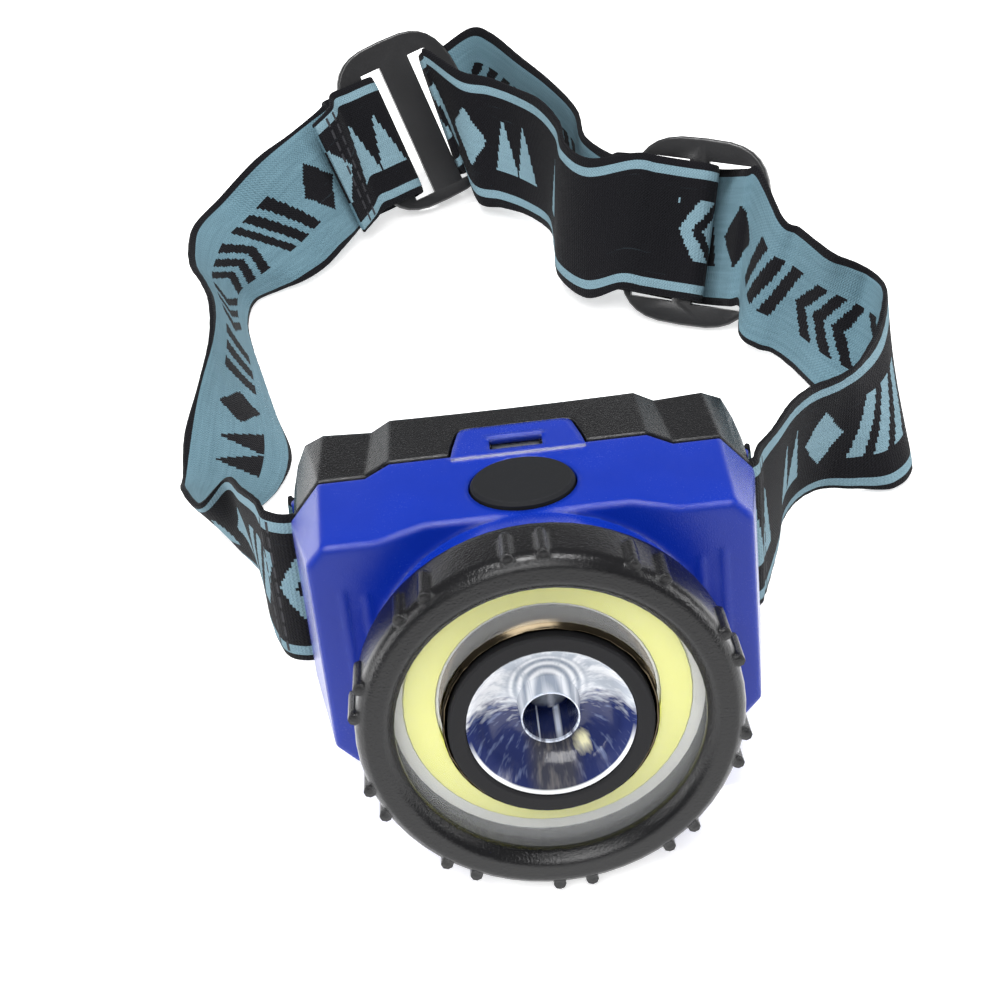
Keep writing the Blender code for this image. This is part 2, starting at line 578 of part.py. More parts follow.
def buckle_axes(buckle):
    """Along-strap, up and outward directions of a buckle."""
    turn = Matrix.Rotation(math.radians(buckle["turn"]), 3, "Z")
    tip = Matrix.Rotation(-math.radians(buckle["lean"]), 3, "X")
    roll = Matrix.Rotation(-math.radians(buckle["roll"]), 3, "Y")
    return [turn @ tip @ roll @ Vector(axis) for axis in ((1, 0, 0), (0, 0, 1), (0, 1, 0))]


def at_buckle(buckle, plan, skew=0.0):
    """Stations of the band at (along, outward) points of a buckle; skew slants the fold."""
    along, up, out = buckle_axes(buckle)
    stations = []
    for u, n in plan:
        middle = Vector(buckle["centre"]) + along * u + out * n - up * n * BAND_RISE
        slant = along * skew
        stations.append((middle - up * BAND_HALF - slant, middle + up * BAND_HALF + slant))
    return stations


def ribbon(name, stations, steps=3):
    """Loft a flat band of even thickness through its edge stations."""
    lows = smooth_path([Vector(low) for low, _high in stations], steps)
    highs = smooth_path([Vector(high) for _low, high in stations], steps)
    middles = [(low + high) / 2 for low, high in zip(lows, highs)]
    rings = []
    for index, (low, high) in enumerate(zip(lows, highs)):
        before, after = middles[max(index - 1, 0)], middles[min(index + 1, len(middles) - 1)]
        across = (after - before).cross(high - low).normalized() * (BAND_THICKNESS / 2)
        rings.append([low - across, low + across, high + across, high - across])
    return loft(name, rings, upright, "webbing")


def make_straps():
    """The two lengths of webbing with their sewn loops."""
    wrap = [(-16.6, 1.7), (-12.8, 2.4), (-8.8, 2.2), (-6.6, 1.3), (-6.0, 0.0), (-6.6, -1.3),
            (-8.8, -2.2), (-12.4, -2.4), (-15.6, -2.6)]
    left_ear = ear_loop(-1, [(36.0, 4.2), (38.8, 6.4)])
    right_ear = ear_loop(1, [(35.2, 5.3), (36.0, 7.5), (36.9, 9.8)])
    ribbon("strap_left", left_ear + LEFT_ROUTE + at_buckle(JOINER, wrap) + LEFT_TAIL)
    sewn_end = [(-4.5, 0.0), (-4.2, 1.1), (-3.0, 2.0), (-1.1, 2.15), (0.6, 2.05), (1.9, 1.1), (2.2, 0.0),
                (1.9, -1.1), (0.6, -2.05), (-2.2, -2.2), (-5.0, -2.6), (-8.5, -3.5), (-12.5, -4.1)]
    fold = [(5.8, -2.1), (5.0, -1.1), (4.8, 0.0), (5.0, 1.1), (5.9, 2.1), (8.2, 2.4), (10.8, 2.3)]
    running = [(-19.6, 1.4), (-16.8, -1.4), (-14.0, -2.3), (-11.6, -2.1), (-10.2, -1.2),
               (-7.2, 1.4), (-4.4, 3.7), (-1.1, 4.3), (2.4, 3.7), (5.8, 1.2), (8.6, -1.5),
               (10.9, -2.7)]
    stations = at_buckle(SLIDER, sewn_end) + INNER_ROUTE[::-1]
    stations += at_buckle(JOINER, fold, 1.1) + OUTER_ROUTE
    stations += at_buckle(SLIDER, running) + RIGHT_ROUTE + right_ear[::-1]
    ribbon("strap_right", stations)


def make_buckle(name, buckle):
    """A flat oval frame with two slots, round which the bands are looped."""
    along, up, out = buckle_axes(buckle)
    low, high = buckle["bars"][0][0], buckle["bars"][-1][1]
    middle, half = (low + high) / 2, (high - low) / 2
    outline = []
    for step in range(36):
        angle = 2 * math.pi * step / 36
        reach = [math.copysign(abs(value) ** 0.62, value)
                 for value in (math.cos(angle), math.sin(angle))]
        outline.append((middle + half * reach[0], buckle["lift"] + BUCKLE_HALF_HEIGHT * reach[1]))
    frame = prism(name, outline, -BUCKLE_THICKNESS / 2, BUCKLE_THICKNESS / 2, "Y", upright, "black")
    bevel(frame, 0.5, 2)
    place = Matrix((along, out, up)).transposed().to_4x4()
    place.translation = Vector(buckle["centre"]) * MM
    frame.matrix_local = place
    for index, (left, right) in enumerate(zip(buckle["bars"], buckle["bars"][1:])):
        slot = box(f"{name}_slot_tool_{index}", (left[1], -3, -buckle["slot"]),
                   (right[0], 3, buckle["slot"]))
        slot.parent = upright
        slot.matrix_local = place
        cut(frame, slot)


clear_scene()
parts = make_collection("headlamp")
cutters = make_collection("cutters")
lamp = make_frame("lamp_frame", LEAN_BACK)
upright = make_frame("strap_frame", 0.0)
bpy.context.view_layer.update()
make_front_housing()
make_optics()
make_button_and_board()
make_battery_pack()
make_wires()
make_rear_cover()
make_straps()
make_buckle("buckle_joiner", JOINER)
make_buckle("buckle_slider", SLIDER)
bpy.context.view_layer.update()
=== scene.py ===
"""Headlamp: materials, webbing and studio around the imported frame.

The strap routes repeat the ones of the CAD script, in millimetres in the strap's upright frame,
whose origin is STAND. Colours are linear RGB.
"""
import math

import bmesh
import bpy
from mathutils import Matrix, Vector


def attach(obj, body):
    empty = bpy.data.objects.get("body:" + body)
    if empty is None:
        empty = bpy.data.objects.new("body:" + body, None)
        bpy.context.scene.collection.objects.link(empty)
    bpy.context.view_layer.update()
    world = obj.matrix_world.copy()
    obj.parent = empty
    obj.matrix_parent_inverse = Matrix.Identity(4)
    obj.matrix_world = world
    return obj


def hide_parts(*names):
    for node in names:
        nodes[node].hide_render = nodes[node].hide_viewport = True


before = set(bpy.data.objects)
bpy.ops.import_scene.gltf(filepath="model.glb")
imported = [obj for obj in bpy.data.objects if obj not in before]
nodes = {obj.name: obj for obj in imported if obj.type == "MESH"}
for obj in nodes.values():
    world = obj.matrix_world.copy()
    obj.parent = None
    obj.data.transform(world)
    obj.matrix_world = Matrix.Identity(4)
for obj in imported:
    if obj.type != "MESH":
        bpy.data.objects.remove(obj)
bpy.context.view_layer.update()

MM = 0.001

# The lamp's place and lean, as in the CAD
LEAN_BACK = math.radians(15.6)
STAND = Vector((-5.654, -58.705, 18.55))

# Camera
CAMERA_PLACE = (-0.01012, -0.24864, 0.21376)
CAMERA_TURN = (47.216, 4.655, -4.623)
CAMERA_LENS = 64.8

# Webbing
BAR_X, BAR_Y, BAR_RADIUS = 33.0, 6.5, 1.5
BAND_LOW, BAND_HIGH = -9.0, 16.5
BAND_THICKNESS = 1.3
BAND_HALF = 13.0
BAND_STEPS = 8
BAND_COLUMNS = 20
BAND_RISE = 0.2
JOINER = {"centre": (-10.3, 144.0, -2.35), "turn": 18.0, "lean": 31.0, "roll": 9.0}
SLIDER = {"centre": (40.0, 93.5, -2.7), "turn": -25.0, "lean": 30.0, "roll": 0.0}
LEFT_ROUTE = [
    ((-41, 10, -10.5), (-40, 13.5, 14)), ((-42, 18, -13), (-43, 19, 12)),
    ((-44, 28, -16), (-46, 25.5, 8.5)), ((-48.5, 37.5, -18), (-51, 24.5, 4.5)),
    ((-48, 44, -18), (-54.5, 31.5, 2)), ((-42.5, 51, -18), (-55.5, 39.5, -2)),
    ((-40, 60, -18), (-55.5, 49.5, -1)), ((-43, 72, -18), (-53.5, 61, 0)),
    ((-46, 85, -18), (-51.5, 72, 2)), ((-48, 94, -18), (-51.5, 80, 4)),
    ((-49, 102, -18), (-53.5, 88, 3)), ((-47.5, 109, -18), (-56, 95, 2)),
    ((-42.5, 112, -18), (-57, 103, 1)), ((-37.5, 113, -17), (-56.5, 112, 0)),
    ((-33, 117, -17), (-52.5, 121.5, -1)), ((-29.5, 121, -16), (-44, 127, 4)),
    ((-26.5, 125.5, -15.5), (-37, 133.5, 5)), ((-24, 130, -15.5), (-30.5, 139.5, 6.5)),
]
LEFT_TAIL = [((-22, 128.5, -14.5), (-28.5, 138, 7.5)), ((-24.5, 125, -15), (-32, 133.5, 6.5))]
INNER_ROUTE = [
    ((0, 131, -15), (-1, 144, 9)), ((5, 128, -15), (4.5, 141, 8.5)),
    ((10, 124, -15), (9.5, 136.5, 8)), ((14, 117, -15), (14, 130, 8.5)),
    ((14, 109, -15), (17, 122, 8)), ((14, 101, -15), (17.5, 114, 7.5)),
    ((18.5, 93.5, -15), (21.5, 107, 8)),
]
OUTER_ROUTE = [
    ((1.5, 149.5, -14), (2.5, 158, 11)), ((6, 147, -15), (6.5, 156.5, 10)),
    ((11, 139.5, -16), (11.5, 148.5, 8.5)), ((16, 129, -16), (17, 138.5, 7.5)),
    ((19.5, 118, -16), (21, 127.5, 7)), ((20, 106.5, -16), (21.5, 117, 7)),
]
RIGHT_ROUTE = [
    ((45.5, 77, -15.5), (53.5, 80, 8)), ((48, 74, -16.5), (56, 77, 7.5)),
    ((51, 72.5, -17), (57.5, 73.5, 7.5)), ((54, 68.5, -18), (60.5, 68.5, 7)),
    ((57, 61, -18), (64, 67.5, 5.5)), ((60.5, 56, -18), (67, 67, 3.5)),
    ((64.5, 51, -17.5), (68, 62, 4)), ((67.5, 44, -17.5), (66.5, 56, 5)),
    ((68, 37, -17.5), (63.5, 48.5, 5)), ((64, 33.5, -18), (60.5, 43, 5.5)),
    ((58, 34.5, -18), (57.5, 38, 6.5)), ((52, 35.5, -18), (54, 35, 7)),
    ((47, 32.5, -17.5), (49, 32, 8)), ((43, 26, -16), (44.5, 26.5, 10)),
    ((40.5, 17, -13), (40, 18.5, 12)),
]
WRAP = [(-16.6, 1.7), (-12.8, 2.4), (-8.8, 2.2), (-6.6, 1.3), (-6.0, 0.0), (-6.6, -1.3),
        (-8.8, -2.2), (-12.4, -2.4), (-15.6, -2.6)]
SEWN_END = [(-4.5, 0.0), (-4.2, 1.1), (-3.0, 2.0), (-1.1, 2.15), (0.6, 2.05), (1.9, 1.1), (2.2, 0.0),
            (1.9, -1.1), (0.6, -2.05), (-2.2, -2.2), (-5.0, -2.6), (-8.5, -3.5), (-12.5, -4.1)]
FOLD = [(5.8, -2.1), (5.0, -1.1), (4.8, 0.0), (5.0, 1.1), (5.9, 2.1), (8.2, 2.4), (10.8, 2.3)]
RUNNING = [(-19.6, 1.4), (-16.8, -1.4), (-14.0, -2.3), (-11.6, -2.1), (-10.2, -1.2), (-7.2, 1.4),
           (-4.4, 3.7), (-1.1, 4.3), (2.4, 3.7), (5.8, 1.2), (8.6, -1.5), (10.9, -2.7)]
LEFT_WAY_OUT = [(36.0, 4.2), (38.8, 6.4)]
RIGHT_WAY_OUT = [(35.2, 5.3), (36.0, 7.5), (36.9, 9.8)]


def from_lamp(x, y, z):
    """A point of the lamp's leaning frame in the strap's upright frame."""
    return Matrix.Rotation(-LEAN_BACK, 3, "X") @ Vector((x, y, z))


def to_object(form, name, sharp=None):
    """A linked object from a bmesh, smooth but for edges sharper than the angle in degrees."""
    mesh = bpy.data.meshes.new(name)
    form.to_mesh(mesh)
    form.free()
    if sharp:
        mesh.shade_smooth()
        mesh.set_sharp_from_angle(angle=math.radians(sharp))
    item = bpy.data.objects.new(name, mesh)
    bpy.context.scene.collection.objects.link(item)
    return item


# ---------------------------------------------------------------- shader helpers

class Shader:
    """A material's node tree, with short calls for the nodes used here."""

    def __init__(self, name):
        self.material = bpy.data.materials.new(name)
        self.material.use_nodes = True
        self.nodes = self.material.node_tree.nodes
        self.links = self.material.node_tree.links
        self.surface = self.nodes["Principled BSDF"]

    def plug(self, socket, value):
        """Link another node's output to a socket, or set its value."""
        if isinstance(value, bpy.types.NodeSocket):
            self.links.new(value, socket)
        else:
            socket.default_value = value

    def set(self, **values):
        """Set the surface's sockets, by names with underscores for spaces."""
        for name, value in values.items():
            self.plug(self.surface.inputs[name.replace("_", " ")], value)
        return self

    def coords(self):
        """Position on the piece, in metres, which moves with it."""
        return self.nodes.new("ShaderNodeTexCoord").outputs["Object"]

    def lamp_place(self):
        """Place in the lamp's leaning frame, in metres, as x, depth and height."""
        node = self.nodes.new("ShaderNodeMapping")
        node.vector_type = "TEXTURE"
        node.inputs["Location"].default_value = STAND * MM
        node.inputs["Rotation"].default_value = (-LEAN_BACK, 0.0, 0.0)
        self.links.new(self.coords(), node.inputs["Vector"])
        return self.split(node.outputs[0])

    def split(self, vector):
        """The three parts of a vector."""
        node = self.nodes.new("ShaderNodeSeparateXYZ")
        self.links.new(vector, node.inputs[0])
        return node.outputs

    def attribute(self, name):
        """Outputs of a vertex attribute that the mesh code wrote."""
        node = self.nodes.new("ShaderNodeAttribute")
        node.attribute_name = name
        return node.outputs

    def both(self, a, b):
        """The product of two values, or 1 where both marks are 1."""
        return self.maths("MULTIPLY", a, b)

    def either(self, a, b):
        """The larger of two values, or 1 where either mark is 1."""
        return self.maths("MAXIMUM", a, b)

    def band(self, value, low, high):
        """1 where low < value < high."""
        return self.both(self.maths("GREATER_THAN", value, low), self.maths("LESS_THAN", value, high))

    def strokes(self, value, starts, width):
        """1 inside any of several equally wide bands."""
        marks = [self.band(value, start, start + width) for start in starts]
        found = marks[0]
        for mark in marks[1:]:
            found = self.either(found, mark)
        return found

    def span(self, u, v):
        """Length of a flat vector."""
        return self.maths("SQRT", self.maths("ADD", self.maths("MULTIPLY", u, u),
                                             self.maths("MULTIPLY", v, v)))

    def maths(self, operation, a, b=0.0, c=0.0):
        """A Math node's result."""
        node = self.nodes.new("ShaderNodeMath")
        node.operation = operation
        for socket, value in zip(node.inputs, (a, b, c)):
            self.plug(socket, value)
        return node.outputs[0]

    def clamp(self, value, low, high):
        """A value brought from low..high to 0..1 and held there."""
        node = self.nodes.new("ShaderNodeMapRange")
        node.clamp = True
        for name, item in (("Value", value), ("From Min", low), ("From Max", high)):
            self.plug(node.inputs[name], item)
        return node.outputs[0]

    def mix(self, share, a, b):
        """Two colours mixed."""
        node = self.nodes.new("ShaderNodeMix")
        node.data_type = "RGBA"
        self.plug(node.inputs[0], share)
        self.plug(node.inputs[6], (*a, 1.0) if isinstance(a, tuple) else a)
        self.plug(node.inputs[7], (*b, 1.0) if isinstance(b, tuple) else b)
        return node.outputs[2]

    def noise(self, scale, detail=2.0, roughness=0.5, vector=None, stretch=(1, 1, 1)):
        """A noise texture's value, with its grain's size set by scale in cycles a metre."""
        mapping = self.nodes.new("ShaderNodeMapping")
        self.plug(mapping.inputs["Vector"], self.coords() if vector is None else vector)
        mapping.inputs["Scale"].default_value = stretch
        node = self.nodes.new("ShaderNodeTexNoise")
        self.plug(node.inputs["Vector"], mapping.outputs[0])
        node.inputs["Scale"].default_value = scale
        node.inputs["Detail"].default_value = detail
        node.inputs["Roughness"].default_value = roughness
        return node.outputs[0]

    def bump(self, height, distance, strength=1.0, normal=None):
        """A bump from a height value, with its depth in metres."""
        node = self.nodes.new("ShaderNodeBump")
        node.inputs["Strength"].default_value = strength
        node.inputs["Distance"].default_value = distance
        self.plug(node.inputs["Height"], height)
        if normal is not None:
            self.plug(node.inputs["Normal"], normal)
        return node.outputs[0]

    def rounded(self, radius):
        """The surface's normal with its edges rounded over a radius in metres."""
        node = self.nodes.new("ShaderNodeBevel")
        node.samples = 6
        node.inputs["Radius"].default_value = radius
        return node.outputs[0]

    def edges(self, radius):
        """A mask of the piece's edges, from how far the rounded normal leans from the flat one."""
        flat = self.nodes.new("ShaderNodeNewGeometry").outputs["Normal"]
        dot = self.nodes.new("ShaderNodeVectorMath")
        dot.operation = "DOT_PRODUCT"
        self.links.new(self.rounded(radius), dot.inputs[0])
        self.links.new(flat, dot.inputs[1])
        return self.clamp(dot.outputs["Value"], 1.0, 0.82)


def plastic(name, colour, wear_and_glint, roughness, grain, depth, soft_edge=0.0, mottle=0.12, wear=0.35):
    """Moulded plastic: spark-eroded grain, slight colour variation and paler, smoother edges."""
    sh = Shader(name)
    cloud = sh.noise(90, 3.0)
    dark = tuple(value * (1 - mottle) for value in colour)
    light = tuple(min(value * (1 + mottle), 1.0) for value in colour)
    body = sh.mix(cloud, dark, light)
    scuff = sh.clamp(sh.noise(420, 4.0, 0.7), 0.42, 0.72)
    edge = sh.maths("MULTIPLY", sh.edges(0.0005), scuff)
    fine = sh.noise(grain, 2.0, 0.6)
    rough = sh.maths("MULTIPLY_ADD", fine, 0.16, roughness - 0.08)
    rough = sh.maths("MULTIPLY_ADD", cloud, 0.08, rough)
    normal = sh.rounded(soft_edge) if soft_edge else None
    sh.set(Base_Color=sh.mix(sh.maths("MULTIPLY", edge, wear), body, wear_and_glint), Roughness=rough,
           Normal=sh.bump(fine, depth, 0.6, normal))
    return sh


def paint(node, shader, *more):
    """Give CAD nodes a material in place of their plain one."""
    for name in (node, *more):
        mesh = nodes[name].data
        mesh.materials.clear()
        mesh.materials.append(shader.material)


# ---------------------------------------------------------------- materials of the CAD nodes

BLACK_ABS = ((0.0055, 0.0055, 0.0062), (0.12, 0.12, 0.125), 0.20, 3000, 0.00010, 0.0010)
blue = plastic("blue_abs", (0.0024, 0.0200, 0.2600), (0.05, 0.12, 0.55), 0.20, 4600, 0.00005, 0.0014)
blue.set(Specular_IOR_Level=0.28)
black = plastic("black_abs", *BLACK_ABS)
black.set(Specular_IOR_Level=0.32)
matt = plastic("black_matt", (0.011, 0.011, 0.0125), (0.06, 0.06, 0.065), 0.62, 4500, 0.00003)
matt.set(Specular_IOR_Level=0.2)
rubber = plastic("button_rubber", (0.006, 0.0066, 0.0080), (0.05, 0.05, 0.055), 0.66, 6000, 0.00003)
rubber.set(Specular_IOR_Level=0.2)
tray = plastic("tray_plastic", (0.020, 0.020, 0.022), (0.09, 0.09, 0.09), 0.5, 4000, 0.00003)
buckle = plastic("buckle_plastic", (0.010, 0.010, 0.011), (0.12, 0.12, 0.125), 0.30, 3800, 0.00004)
pcb = plastic("solder_mask", (0.012, 0.12, 0.035), (0.35, 0.25, 0.08), 0.35, 2500, 0.00003)
red_wire = plastic("red_insulation", (0.45, 0.012, 0.010), (0.6, 0.08, 0.06), 0.42, 3000, 0.00002)
black_wire = plastic("black_insulation", (0.015, 0.015, 0.015), (0.1, 0.1, 0.1), 0.42, 3000, 0.00002)


def white_board():
    """White solder mask with a faint weave and a tone that varies at random between pale grey and
    white.
    """
    sh = Shader("white_board")
    tone = sh.mix(sh.noise(700, 3.0), (0.80, 0.81, 0.82), (0.90, 0.90, 0.89))
    return sh.set(Base_Color=tone, Roughness=sh.maths("MULTIPLY_ADD", sh.noise(3000), 0.15, 0.3),
                  Normal=sh.bump(sh.noise(2200), 0.00002, 0.5))


def phosphor():
    """Soft yellow gel over rows of chips, which show as a faint dimple pattern, with a faint painted
    glow though the lamp is not lit.
    """
    sh = Shader("phosphor_gel")
    chips = sh.nodes.new("ShaderNodeTexVoronoi")
    chips.inputs["Scale"].default_value = 900
    sh.links.new(sh.coords(), chips.inputs["Vector"])
    dots = sh.clamp(chips.outputs["Distance"], 0.0, 0.35)
    tone = sh.mix(sh.noise(160, 3.0), (0.92, 0.92, 0.12), (0.97, 0.97, 0.22))
    tone = sh.mix(sh.maths("MULTIPLY_ADD", dots, -0.10, 0.10), tone, (0.93, 0.80, 0.10))
    # the emission is a faint painted glow; the lamp is not lit
    return sh.set(Base_Color=tone, Roughness=sh.maths("MULTIPLY_ADD", sh.noise(1400), 0.2, 0.3),
                  Emission_Color=(0.95, 0.96, 0.20, 1.0), Emission_Strength=0.15,
                  Normal=sh.bump(sh.noise(1500, 3.0), 0.00004, 0.5))


def metal(name, colour, roughness, brushed=(1, 1, 1), scale=1800):
    """Bare or plated metal with fine streaks."""
    sh = Shader(name)
    streak = sh.noise(scale, 3.0, 0.6, None, brushed)
    dim = tuple(value * 0.82 for value in colour)
    return sh.set(Base_Color=sh.mix(streak, dim, colour), Metallic=1.0,
                  Roughness=sh.maths("MULTIPLY_ADD", streak, 0.14, roughness),
                  Normal=sh.bump(streak, 0.00002, 0.4))


SLEEVE_RADIUS, SLEEVE_BLEND = 0.0180, 0.0005


def reflector_chrome():
    """Vacuum-plated plastic, with a painted brown reflection of the yellow ring and the dark bezel on
    the sleeve inside the lit ring.
    """
    sh = metal("vacuum_chrome", (0.50, 0.51, 0.47), 0.09, scale=700)
    x, _y, z = sh.lamp_place()
    inner = sh.clamp(sh.span(x, z), SLEEVE_RADIUS + SLEEVE_BLEND, SLEEVE_RADIUS)
    outer = sh.surface.inputs["Base Color"].links[0].from_socket
    # painted reflection: the sleeve gets the brown that the yellow ring and dark bezel would mirror in
    # it
    brown_reflection = sh.mix(sh.noise(400, 2.0), (0.060, 0.046, 0.028), (0.110, 0.088, 0.058))
    return sh.set(Base_Color=sh.mix(inner, outer, brown_reflection))


def clear_window(name):
    """Thin clear acrylic: nearly invisible face on, shinier at a slant, partly by real reflection and
    partly by a painted white sheen, with faint hairlines.
    """
    sh = Shader(name)
    lines = sh.noise(500, 5.0, 0.8, None, (6, 1, 1))
    slant = sh.nodes.new("ShaderNodeLayerWeight")
    slant.inputs["Blend"].default_value = 0.3
    haze = sh.maths("MULTIPLY_ADD", sh.clamp(lines, 0.60, 0.85), 0.10, 0.05)
    # the white base colour shows more at a slant: a painted sheen beside the real reflection
    return sh.set(Base_Color=(0.93, 0.95, 0.98, 1.0), Specular_IOR_Level=1.0,
                  Roughness=sh.maths("MULTIPLY_ADD", sh.clamp(lines, 0.62, 0.8), 0.05, 0.04),
                  Alpha=sh.maths("MULTIPLY_ADD", slant.outputs["Facing"], 0.45, haze))


def cell_sleeve():
    """Battery sleeve: dark body, copper-coloured band and a fine lengthwise sheen."""
    sh = Shader("cell_sleeve")
    band = sh.clamp(sh.split(sh.coords())["X"], 0.0075, 0.0078)
    body = sh.mix(sh.noise(300, 2.0), (0.010, 0.011, 0.012), (0.016, 0.017, 0.019))
    return sh.set(Base_Color=sh.mix(band, body, (0.55, 0.30, 0.12)), Metallic=0.4,
                  Roughness=sh.maths("MULTIPLY_ADD", sh.noise(2500), 0.15, 0.28))


paint("front_housing", blue)
paint("bezel_ring", black)
paint("lens_collar", matt, "switch_plunger")
paint("button_cap", rubber)
paint("battery_tray", tray)
paint("buckle_joiner", buckle, "buckle_slider")
paint("led_board", pcb, "main_board")
paint("led_wire_plus", red_wire, "battery_wire_plus")
paint("led_wire_minus", black_wire, "battery_wire_minus")
paint("cob_board", white_board())
paint("cob_phosphor", phosphor(), "led_emitter")
paint("chrome_reflector", reflector_chrome())
paint("cover_lens", clear_window("clear_cover"))
paint("battery_cell_1", cell_sleeve(), "battery_cell_2", "battery_cell_3")
steel = metal("nickel_plate", (0.66, 0.65, 0.62), 0.22, (1, 4, 4))
paint("hinge_pin", steel, "switch_body", *[f"contact_plate_{n}" for n in (1, 2, 3)],
      *[f"contact_spring_{n}" for n in (1, 2, 3)], *[f"tray_screw_{n}" for n in (1, 2, 3, 4)])


# The part of the cover's catch that shows in the latch tab's window, in lamp-frame metres, where a
# grey-white highlight is painted
CATCH_MIDDLE_X, CATCH_HALF_X = -0.0002, 0.0042
CATCH_MIDDLE_Y, CATCH_HALF_Y = 0.0054, 0.0019
CATCH_FLOOR_Z = 0.0222


def cover_plastic():
    """The bezel's black plastic, with a painted grey-white highlight on the catch that shows in the
    latch tab's window.
    """
    sh = plastic("cover_abs", *BLACK_ABS)
    sh.set(Specular_IOR_Level=0.32)
    x, y, z = sh.lamp_place()
    beside = sh.band(x, CATCH_MIDDLE_X - CATCH_HALF_X, CATCH_MIDDLE_X + CATCH_HALF_X)
    depth = sh.band(y, CATCH_MIDDLE_Y - CATCH_HALF_Y, CATCH_MIDDLE_Y + CATCH_HALF_Y)
    wear_and_glint = sh.both(beside, sh.both(depth, sh.maths("GREATER_THAN", z, CATCH_FLOOR_Z)))
    old = sh.surface.inputs["Base Color"].links[0].from_socket
    # painted highlight: speckled grey-white on the catch, standing in for the glint of its black
    # plastic
    glint_speckle = sh.mix(sh.noise(2600, 3.0, 0.8), (0.30, 0.33, 0.37), (0.95, 0.97, 1.0))
    return sh.set(Base_Color=sh.mix(wear_and_glint, old, glint_speckle))


def soften(name, width, angle=30.0, segments=2):
    """Round a CAD node's edges for the render, and shade its flat and round faces cleanly."""
    item = nodes[name]
    for face in item.data.polygons:
        face.use_smooth = True
    weld = item.modifiers.new("weld", "WELD")
    weld.merge_threshold = 0.000002
    flatten = item.modifiers.new("flatten", "DECIMATE")
    flatten.decimate_type = "DISSOLVE"
    flatten.angle_limit = math.radians(0.6)
    if width:
        rounding = item.modifiers.new("rounding", "BEVEL")
        rounding.width = width * MM
        rounding.segments = segments
        rounding.limit_method = "ANGLE"
        rounding.angle_limit = math.radians(angle)
        rounding.harden_normals = False
    normals = item.modifiers.new("normals", "WEIGHTED_NORMAL")
    normals.keep_sharp = True
    normals.weight = 100


# Widths of the extra rounding in millimetres; 0 only shades the node cleanly
ROUNDING = {"front_housing": 0.28, "bezel_ring": 0.18, "rear_cover": 0.25, "lens_collar": 0.1,
            "button_cap": 0.2, "buckle_joiner": 0.0, "buckle_slider": 0.0, "chrome_reflector": 0.0,
            "cob_board": 0.0, "cob_phosphor": 0.0, "cover_lens": 0.0, "led_emitter": 0.0}
for node_name, width in ROUNDING.items():
    soften(node_name, width)
paint("rear_cover", cover_plastic())


# ---------------------------------------------------------------- collimator

# (radius, depth) round the optical axis: domed well, its wall and rim, bowl, then the back
OPTICS = [(0.0, -27.2), (1.3, -26.9), (2.3, -26.2), (2.9, -25.6), (3.5, -25.5), (3.80, -32.7),
          (4.0, -32.8), (4.35, -28.9), (5.4, -28.5), (6.8, -28.8), (8.6, -29.9), (10.0, -31.5),
          (11.0, -33.7), (11.5, -34.3), (11.5, -33.6), (10.9, -32.0), (8.9, -29.2), (6.3, -27.9),
          (4.5, -27.6), (4.2, -24.9), (0.0, -24.9)]


def make_optics():
    """Moulded collimator as one closed turned body, with its lamp-frame place for the painted
    refraction.
    """
    form = bmesh.new()
    seat = form.verts.layers.float_vector.new("seat")
    steps = 96
    rows = []
    for radius, depth in OPTICS:
        row = []
        for step in range(steps if radius else 1):
            angle = 2 * math.pi * step / steps
            x, z = radius * math.cos(angle), radius * math.sin(angle)
            vert = form.verts.new((from_lamp(x, depth, z) + STAND) * MM)
            vert[seat] = (x, z, depth)
            row.append(vert)
        rows.append(row)
    for first, second in zip(rows, rows[1:]):
        for step in range(steps):
            after = (step + 1) % steps
            near = [first[0]] if len(first) == 1 else [first[step], first[after]]
            far = [second[0]] if len(second) == 1 else [second[after], second[step]]
            form.faces.new(near + far)
    bmesh.ops.recalc_face_normals(form, faces=form.faces)
    return to_object(form, "collimator_optics", 50)


